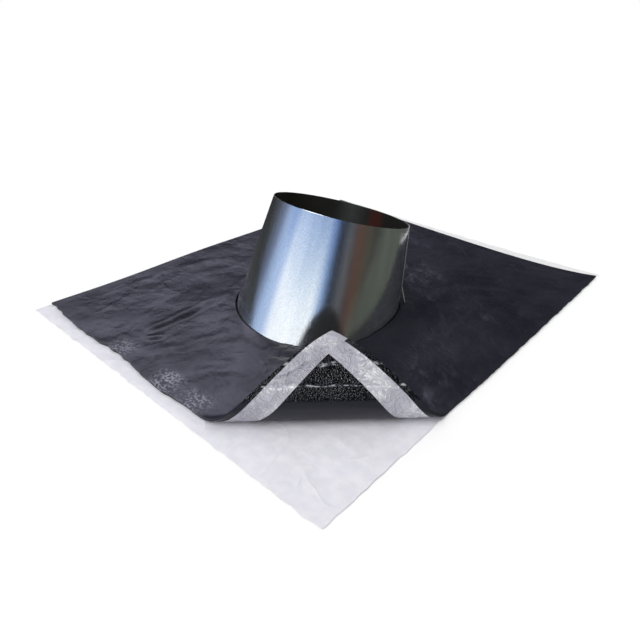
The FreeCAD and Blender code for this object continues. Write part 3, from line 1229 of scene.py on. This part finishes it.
    def lay(self, x: Places, y: Places, level: float | Places = 0.0) -> Places:
        """Carry places on the flat sheet to where they lie.

        Args:
            x: Places across the flat sheet.
            y: Places along it.
            level: Height above the surface where butyl and carrier meet, before rolling.

        Returns:
            The places, one row each.
        """
        height = self.rise(x, y)
        x, y = self.warp(x, y)
        run = self.rolled(x, y)
        along = (x - self.lift_off[0]) * self.beside[0] + (y - self.lift_off[1]) * self.beside[1]
        level = level - sum(crease.rise(run, along) for crease in self.creases)
        past = np.maximum(run, 0.0)
        tilt = np.minimum(past, self.tight_length) / self.tight_radius
        last = tilt + np.maximum(past - self.tight_length, 0.0) / self.slack_radius
        across = np.minimum(run, 0.0) + self.tight_radius * np.sin(tilt)
        across += self.slack_radius * (np.sin(last) - np.sin(tilt)) - level * np.sin(last)
        up = self.tight_radius * (1 - np.cos(tilt)) - self.slack_radius * (np.cos(last) - np.cos(tilt))
        up += level * np.cos(last) + height
        along = along + self.roll_skew * past
        flat = self.lift_off + across[:, None] * self.ahead + along[:, None] * self.beside
        return np.column_stack([flat, self.bond_height + up])


def flat_grid(name: str, low: tuple[float, float], high: tuple[float, float], cell: float) -> Piece:
    """A level grid between two corners.

    Args:
        name: The piece's name.
        low: Its lowest corner, x and y.
        high: Its highest corner.
        cell: About the size of a cell.

    Returns:
        The piece.
    """
    width, length = high[0] - low[0], high[1] - low[1]
    middle = ((low[0] + high[0]) / 2 * MM, (low[1] + high[1]) / 2 * MM, 0.0)
    bpy.ops.mesh.primitive_grid_add(
        x_subdivisions=max(round(width / cell), 2), y_subdivisions=max(round(length / cell), 2),
        size=1.0, location=middle,
    )
    piece = bpy.context.active_object
    piece.name = name
    piece.scale = (width * MM, length * MM, 1.0)
    bpy.ops.object.transform_apply(location=True, rotation=True, scale=True)
    return piece


def flat_area(sheet: Piece, x: Places, y: Places) -> float:
    """Area in square metres of a sheet's cut, with its corners at these places in one plane."""
    put_corners(sheet, np.column_stack([x, y, np.zeros_like(x)]))
    return sum(face.area for face in sheet.data.polygons)


def cut_hole(sheet: Piece, hole: Ellipse) -> None:
    """Delete the faces of a flat sheet whose middle is inside an ellipse.

    Args:
        sheet: The sheet.
        hole: The ellipse.
    """
    with editing(sheet, "FACE"):
        pick_faces(sheet, lambda middle: bool(hole.share(middle.x / MM, middle.y / MM) < 1.0))
        bpy.ops.mesh.delete(type="FACE")


def border_of(piece: Piece) -> set[int]:
    """Find the corners on a mesh's open edges.

    Args:
        piece: The piece.

    Returns:
        Their indices.
    """
    uses: dict[tuple[int, int], int] = {}
    for face in piece.data.polygons:
        for key in face.edge_keys:
            uses[key] = uses.get(key, 0) + 1
    return {corner for key, count in uses.items() if count == 1 for corner in key}


@dataclass
class Apron:
    """Carrier sheet with butyl bonded under it, holed for the collar."""

    form: SheetForm
    carrier: float = 1.5
    butyl: float = 0.8
    cell: float = 3.0
    fine_from: float = 20.0
    fitting_rounds: int = 4

    def build(self, effects: Effects) -> list[Piece]:
        """Model both layers and dress them.

        Args:
            effects: The shared shader effects.

        Returns:
            The carrier and the butyl.
        """
        carrier, area = self._layer("carrier_sheet", self.carrier, 1.0)
        carrier.data.materials.append(CarrierSkin().material(effects))
        hand_over(carrier, Slot.CARRIER, "apron")
        butyl, area = self._layer("butyl_sheet", self.butyl, -1.0)
        butyl.data.materials.append(ButylSkin().material(effects))
        hand_over(butyl, Slot.BUTYL, "butyl_backing")
        return [carrier, butyl]

    def _layer(self, name: str, thickness: float, side: float) -> tuple[Piece, float]:
        """One layer of the sheet, thickened to one side of the surface where the layers meet.

        Args:
            name: The piece's name.
            thickness: Its thickness.
            side: 1 to thicken upwards and -1 downwards, before rolling.

        Returns:
            The piece and the area of its cut, in square metres.
        """
        form = self.form
        high = (form.half_width, form.half_length)
        sheet = flat_grid(name, (-high[0], -high[1]), high, self.cell)
        cut_hole(sheet, form.hole(form.bond_height))
        self._refine_roll(sheet)
        places = corners(sheet)
        self._fit_hole(sheet, places)
        self._blunt_tip(places)
        area = flat_area(sheet, *form.warp(places[:, 0], places[:, 1]))
        put_corners(sheet, form.lay(places[:, 0], places[:, 1]))
        apply_modifier(sheet, "SOLIDIFY", thickness=thickness * MM, offset=side, use_even_offset=True)
        return sheet, area

    def _refine_roll(self, sheet: Piece) -> None:
        """Divide the cells of the rolled corner, so that its wrinkles stay sharp.

        Args:
            sheet: The flat sheet.
        """
        rolled = self.form.rolled
        with editing(sheet, "FACE"):
            pick_faces(sheet, lambda middle: bool(rolled(middle.x / MM, middle.y / MM) > self.fine_from))
            bpy.ops.mesh.subdivide(number_cuts=2)

    def _fit_hole(self, sheet: Piece, places: Places) -> None:
        """Pull the hole's ragged border onto the cone at the height where the sheet lies.

        Args:
            sheet: The flat sheet.
            places: Its corners, which are changed in place.
        """
        form = self.form
        rim = [i for i in border_of(sheet) if form.from_hole(places[i, 0], places[i, 1]) < 3 * self.cell]
        x, y = places[rim, 0], places[rim, 1]
        for _ in range(self.fitting_rounds):
            x, y = form.hole(form.bond_height + form.rise(x, y)).pull(x, y)
        places[rim, 0], places[rim, 1] = x, y

    def _blunt_tip(self, places: Places) -> None:
        """Pull the sharp corner of the roll back a little.

        Args:
            places: The flat sheet's corners, which are changed in place.
        """
        form = self.form
        limit = form.roll_reach - form.tip_bluntness
        over = np.maximum(form.rolled(places[:, 0], places[:, 1]) - limit, 0.0)
        places[:, :2] -= over[:, None] * form.ahead


@dataclass
class EdgeTapes:
    """Four tapes stuck along the edges of the butyl."""

    form: SheetForm
    butyl: float = 0.8
    width: float = 21.0
    thickness: float = 0.16
    margin: float = 5.5
    corner_margin: float = 0.8
    corner_starts: tuple[float, float] = (190.0, 120.0)
    free_run: float = 12.0
    overlap: float = 0.2
    clearance: float = 0.02
    crinkle: float = 0.28
    crinkle_ripples: Ripples = Ripples(0.5, 5.0, 4.4)
    cell: float = 1.25

    def build(self, effects: Effects) -> list[Piece]:
        """Model the tapes and dress them."""
        material = TapeFilm().material(effects)
        return [self._tape(side, material) for side in Side]

    def _tape(self, side: Side, material: Material) -> Piece:
        """Model and dress one tape.

        Args:
            side: The side of the apron that it lies along.
            material: Its material.

        Returns:
            The piece.
        """
        form = self.form
        outer_x, outer_y = form.half_width - self.margin, form.half_length - self.margin
        inner_x, inner_y = outer_x - self.width, outer_y - self.width
        low, high, depth = {
            Side.FRONT: ((-outer_x, -outer_y), (outer_x, -inner_y), self.overlap),
            Side.REAR: ((-outer_x, inner_y), (outer_x, outer_y), self.overlap),
            Side.RIGHT: ((inner_x, -outer_y), (outer_x, outer_y), 0.0),
            Side.LEFT: ((-outer_x, -outer_y), (-inner_x, outer_y), 0.0),
        }[side]
        tape = flat_grid(side.value + "_film", low, high, self.cell)
        places = corners(tape)
        x, y = places[:, 0], places[:, 1]
        if side is Side.FRONT:
            y -= ease(x, self.corner_starts[1], outer_x) * (self.margin - self.corner_margin)
            x += ease(x, self.corner_starts[0], outer_x) * (self.margin - self.corner_margin)
        wrinkled = self.crinkle * (0.5 + self.crinkle_ripples.rise(x, y))
        free = ease(form.rolled(x, y), 0.0, self.free_run)
        level = -self.butyl - self.clearance - depth * free - wrinkled * free
        put_corners(tape, form.lay(x, y, level))
        apply_modifier(tape, "SOLIDIFY", thickness=self.thickness * MM, offset=-1.0, use_even_offset=True)
        tape.data.materials.append(material)
        hand_over(tape, Slot.TAPE, side.value)
        return tape


@dataclass
class ReleaseFilm:
    """Release film under everything, with a ragged edge and a hole in line with the collar."""

    form: SheetForm
    hole_setback: float = 3.0
    near_hole: float = 1.2
    thickness: float = 0.12
    cell: float = 4.5
    waves: tuple[Ripples, ...] = (Ripples(0.9, 46.0, 5.5), Ripples(0.35, 15.0, 2.2))
    wave_level: float = 0.84
    bare_from_roll: tuple[float, float] = (4.0, 34.0)
    bare_from_front: tuple[float, float] = (2.0, 8.0)
    ragged_strip: tuple[float, float] = (25.0, 0.0)
    ragged_y: Ripples = Ripples(2.2, 11.0, 6.1)
    ragged_x: Ripples = Ripples(1.1, 13.0, 9.3)
    end_strip: tuple[float, float] = (200.0, 290.0)
    front_pull: float = -2.76
    front_slant: float = 0.012
    rear_bow: float = 38.0
    bow_run: float = 250.0

    def build(self, effects: Effects) -> Piece:
        """Model the film and dress it.

        Args:
            effects: The shared shader effects.

        Returns:
            The finished piece.
        """
        low, high = (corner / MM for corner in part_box("release_film"))
        film = flat_grid("release_film_sheet", (low.x, low.y), (high.x, high.y), self.cell)
        hole = self.form.collar.section(0.0, self.hole_setback)
        cut_hole(film, hole)
        places = corners(film)
        x, y = places[:, 0], places[:, 1]
        rim = [i for i in border_of(film) if hole.share(x[i], y[i]) < self.near_hole]
        x[rim], y[rim] = hole.pull(x[rim], y[rim])
        self._fray(x, y, low, high)
        area = flat_area(film, x, y)
        bare = ease(self.form.rolled(x, y), *self.bare_from_roll)
        bare = np.maximum(bare, ease(-y - self.form.half_length, *self.bare_from_front))
        waves = sum(ripples.rise(x, y) for ripples in self.waves) + self.wave_level
        places[:, 2] = bare * np.maximum(waves, 0.0)
        put_corners(film, places)
        apply_modifier(film, "SOLIDIFY", thickness=self.thickness * MM, offset=1.0)
        film.data.materials.append(MilkyFilm().material(effects))
        hand_over(film, Slot.FILM, "release_film")
        return film

    def _fray(self, x: Places, y: Places, low: Vector, high: Vector) -> None:
        """Shift the film's edges as a hand-cut, slightly turned film's.

        Args:
            x: Places across the film, changed in place.
            y: Places along it, changed in place.
            low: The film's lowest corner.
            high: Its highest corner.
        """
        room = np.minimum(np.minimum(x - low.x, high.x - x), np.minimum(y - low.y, high.y - y))
        edge = ease(room, *self.ragged_strip)
        bow = self.rear_bow * (1 - np.exp((x - high.x) / self.bow_run))
        pull = self.front_pull + self.front_slant * x
        y += ease(-y, *self.end_strip) * pull - ease(y, *self.end_strip) * bow
        y += edge * self.ragged_y.rise(x, y)
        x += edge * self.ragged_x.rise(x, y)


# ---- studio -------------------------------------------------------------------------------


@dataclass(frozen=True)
class Panel:
    """A soft bright panel on the studio's walls: its bearing, upward share, half sizes and colour."""

    bearing: float
    height: float
    half_width: float
    half_height: float
    colour: tuple[float, float, float, float]
    full: tuple[float, float] = (0.6, 0.4)

    def mask(self, graph: Graph, bearing: Socket, up: Socket) -> Socket:
        """Where the panel shows.

        Args:
            graph: The world's graph.
            bearing: The bearing looked along, in radians.
            up: The upward share of the direction looked along.

        Returns:
            1 on the panel and 0 off it.
        """
        aside, above = graph.off(bearing, self.bearing), graph.off(up, self.height)
        across = graph.stretch(aside, self.half_width * self.full[0], self.half_width, 1.0, 0.0)
        tall = graph.stretch(above, self.half_height * self.full[1], self.half_height, 1.0, 0.0)
        return graph.times(across, tall)


def towards(azimuth: float, elevation: float) -> Vector:
    """The direction out from the object at an azimuth, from -Y towards +X, and an elevation."""
    flat = math.cos(elevation)
    return Vector((math.sin(azimuth) * flat, -math.cos(azimuth) * flat, math.sin(elevation)))


@dataclass
class Studio:
    """Pale floor, soft light, the walls that gloss shows, and the camera."""

    target: Vector = field(default_factory=lambda: Vector((26.12, -77.43, 0.0)))
    azimuth: float = math.radians(40.8)
    elevation: float = math.radians(31.79)
    roll: float = math.radians(2.4)
    distance: float = 653.36
    lens: float = 31.12
    sky_light: float = 0.64
    sun_power: float = 1.5
    sun_azimuth: float = math.radians(-15.0)
    sun_elevation: float = math.radians(52.0)
    sun_angle: float = math.radians(45.0)
    gloss_strength: float = 1.2
    sheen: Panel = Panel(-1.97, 0.66, 0.62, 0.22, (1.6, 1.6, 2.05, 1.0))
    white: tuple = (1.0, 1.0, 1.0, 1.0)
    floor_colour: tuple = (0.93, 0.93, 0.935, 1.0)
    floor_lift: float = 0.08
    floor_size: float = 6000.0
    floor_drop: float = 0.02
    floor_in_gloss: tuple = (tone(36, 39, 42), tone(80, 84, 76))
    bands: tuple = (
        (-180, 88, 92, 86), (-150, 80, 84, 88), (-112, 30, 32, 36), (-80, 56, 60, 68),
        (-62, 94, 106, 132), (-48, 150, 172, 206), (-34, 172, 193, 228), (-24, 246, 250, 255),
        (26, 250, 254, 255), (36, 138, 168, 210), (45, 24, 36, 58), (52, 34, 40, 50),
        (61, 82, 84, 88), (69, 60, 52, 50), (77, 80, 48, 36), (86, 66, 58, 46),
        (100, 38, 40, 34), (117, 62, 65, 58), (124, 104, 108, 102), (131, 60, 62, 56),
        (144, 96, 98, 92), (160, 66, 70, 62), (179.9, 88, 92, 86),
    )
    upward: tuple = (
        (0.0, 255, 255, 255), (0.22, 255, 255, 255), (0.30, 206, 220, 238),
        (0.39, 140, 164, 206), (0.52, 70, 82, 110), (1.0, 70, 78, 96),
    )

    def build(self) -> None:
        """Make the floor, the lights and the camera."""
        self._floor()
        self._sky()
        self._sun()
        self._camera()
        bpy.context.scene.view_settings.view_transform = "Standard"

    def _floor(self) -> None:
        """A level white floor that keeps the object's shadow."""
        place = (0.0, 0.0, -self.floor_drop * MM)
        bpy.ops.mesh.primitive_plane_add(size=self.floor_size * MM, location=place)
        floor = bpy.context.active_object
        floor.name = "floor"
        made, graph = new_material("floor_paint")
        path = graph.add("ShaderNodeLightPath").outputs
        paint = graph.add("ShaderNodeBsdfDiffuse", {"Color": self.floor_colour}).outputs[0]
        lift = graph.glow("Emission", self.white, graph.times(path["Is Camera Ray"], self.floor_lift))
        both = graph.add("ShaderNodeAddShader", {0: paint, 1: lift}).outputs[0]
        hue = graph.blend(graph.stretch(graph.split(graph.place())[0], -0.6, 0.4), *self.floor_in_gloss)
        shown = graph.choose(path["Is Glossy Ray"], both, graph.glow("Emission", hue, 1.0))
        graph.add("ShaderNodeOutputMaterial", {"Surface": shown})
        floor.data.materials.append(made)

    def _sky(self) -> None:
        """Even light for matt surfaces, white for the camera, and banded walls for gloss."""
        world = bpy.data.worlds.new("studio")
        bpy.context.scene.world = world
        world.use_nodes = True
        graph = Graph(world.node_tree)
        parts = graph.split(graph.add("ShaderNodeTexCoord").outputs["Generated"])
        bearing = graph.calc("ARCTAN2", parts[0], graph.times(parts[1], -1.0))
        turn = graph.plus(graph.calc("DIVIDE", bearing, 2 * math.pi), 0.5)
        walls = graph.ramp(turn, hues(self.bands, -180, 180))
        shade = graph.ramp(graph.calc("MAXIMUM", parts[2], 0.0), hues(self.upward, 0, 1))
        walls = graph.blend(1.0, walls, shade, "MULTIPLY")
        walls = graph.blend(self.sheen.mask(graph, bearing, parts[2]), walls, self.sheen.colour)
        path = graph.add("ShaderNodeLightPath").outputs
        even = graph.glow("Background", self.white, self.sky_light)
        gloss = graph.glow("Background", walls, self.gloss_strength)
        clear = graph.calc("MAXIMUM", path["Is Camera Ray"], path["Is Transmission Ray"])
        lit = graph.choose(path["Is Glossy Ray"], even, gloss)
        shown = graph.choose(clear, lit, graph.glow("Background", self.white, 1.0))
        graph.add("ShaderNodeOutputWorld", {"Surface": shown})

    def _sun(self) -> None:
        """One broad soft lamp."""
        bpy.ops.object.light_add(type="SUN")
        sun = bpy.context.active_object
        sun.name = "soft_lamp"
        sun.data.energy = self.sun_power
        sun.data.angle = self.sun_angle
        back = towards(self.sun_azimuth, self.sun_elevation)
        sun.rotation_euler = (-back).to_track_quat("-Z", "Y").to_euler()

    def _camera(self) -> None:
        """The camera, rolled slightly about its own axis."""
        bpy.ops.object.camera_add()
        camera = bpy.context.active_object
        camera.name = "camera"
        back = towards(self.azimuth, self.elevation)
        right = (-back).cross(Vector((0.0, 0.0, 1.0))).normalized()
        up = back.cross(right)
        turned = right * math.cos(self.roll) + up * math.sin(self.roll)
        raised = up * math.cos(self.roll) - right * math.sin(self.roll)
        facing = Matrix((turned, raised, back)).transposed().to_4x4()
        camera.matrix_world = Matrix.Translation((self.target + back * self.distance) * MM) @ facing
        camera.data.sensor_width = 36.0
        camera.data.lens = self.lens
        camera.data.clip_start = 0.01
        bpy.context.scene.camera = camera


def main() -> None:
    """Build the studio and the object's pieces, and report each."""
    logging.basicConfig(level=logging.INFO, format="%(name)s %(message)s")
    effects = Effects()
    Studio().build()
    collar = Collar()
    form = SheetForm(collar)
    pieces = [collar.build(effects)]
    pieces += Apron(form).build(effects)
    pieces += EdgeTapes(form).build(effects)
    pieces.append(ReleaseFilm(form).build(effects))
    LOG.info("%d pieces", len(pieces))


if __name__ == "__main__":
    main()
